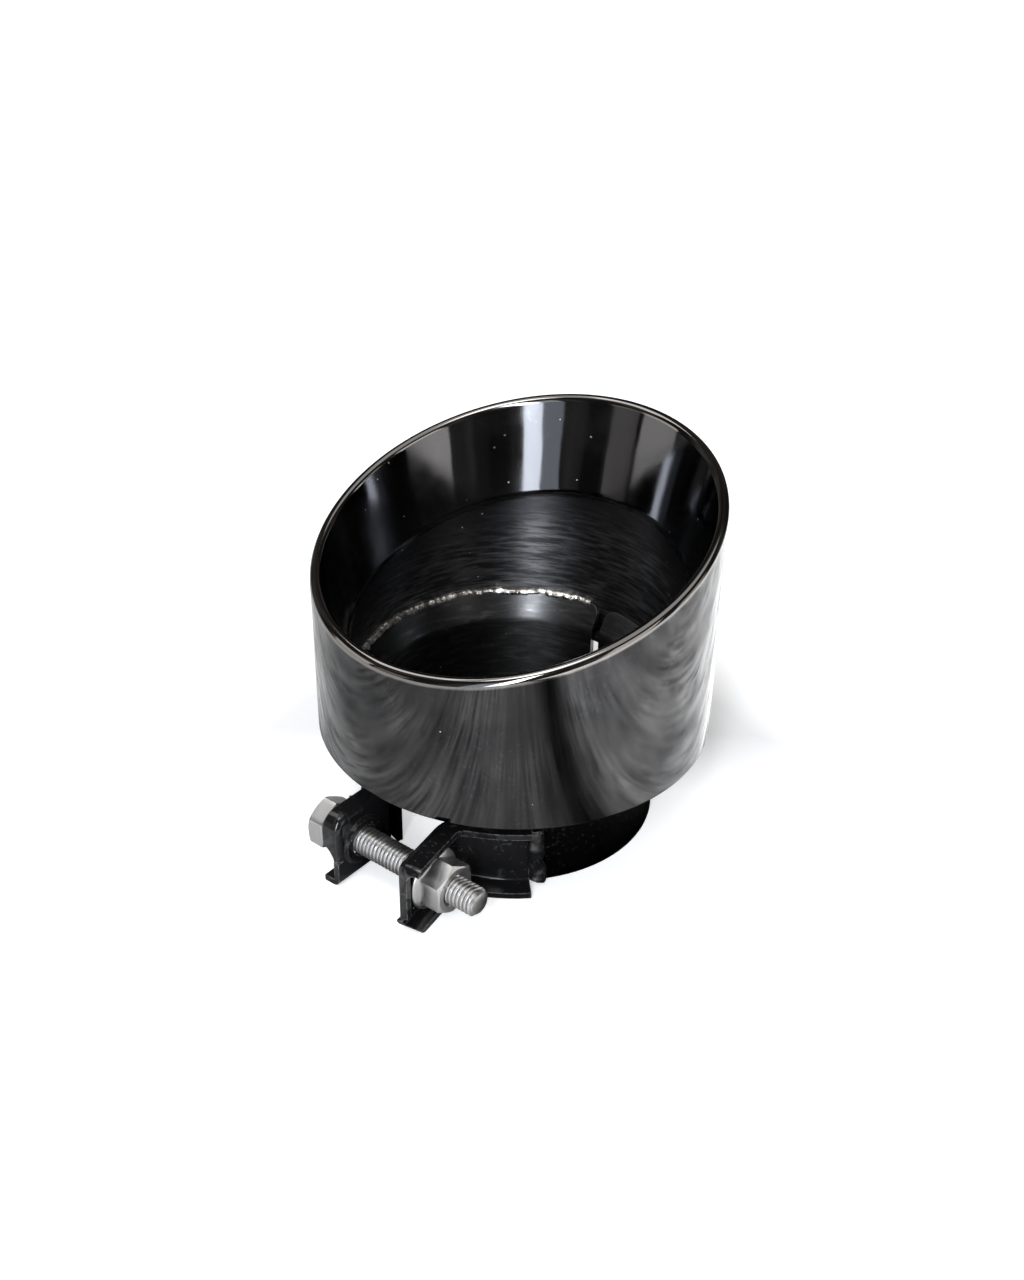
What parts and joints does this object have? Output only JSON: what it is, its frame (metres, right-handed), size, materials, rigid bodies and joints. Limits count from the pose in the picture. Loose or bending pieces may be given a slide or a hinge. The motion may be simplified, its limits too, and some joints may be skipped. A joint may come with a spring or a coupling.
{
  "type": "exhaust tip",
  "caption": "Round double-wall exhaust tip with a slash-cut rolled rim and a flared funnel, on a split inlet collar with pressed clamp lugs and a bolt.",
  "frame": {"origin": "centre of the inlet collar's lower end, on the tip's axis", "axes": "+Z along the axis from the inlet to the outlet, -Y from the axis to the clamp bolt, +X from the bolt's head to its nut"},
  "size_m": [0.11, 0.1207, 0.1043],
  "materials": {
    "shell": "polished dark chrome with fine scratches",
    "sleeve": "dark chrome, polished funnel over a brushed sleeve",
    "ring": "plain dark finish",
    "collar": "brushed dark finish",
    "weld": "rough bright weld metal",
    "lug": "gloss black with worn edges",
    "lug_weld": "rough black over weld lumps",
    "bolt": "satin bare steel"
  },
  "bodies": {
    "root": {"outer_shell": "shell", "inner_sleeve": "sleeve", "end_ring": "ring", "inlet_collar": "collar", "flare_weld": "weld", "lug_head_side": "lug", "lug_nut_side": "lug", "lug_weld_head_side": "lug_weld", "lug_weld_nut_side": "lug_weld", "clamp_bolt": "bolt", "flange_nut": "bolt"}
  },
  "joints": []
}
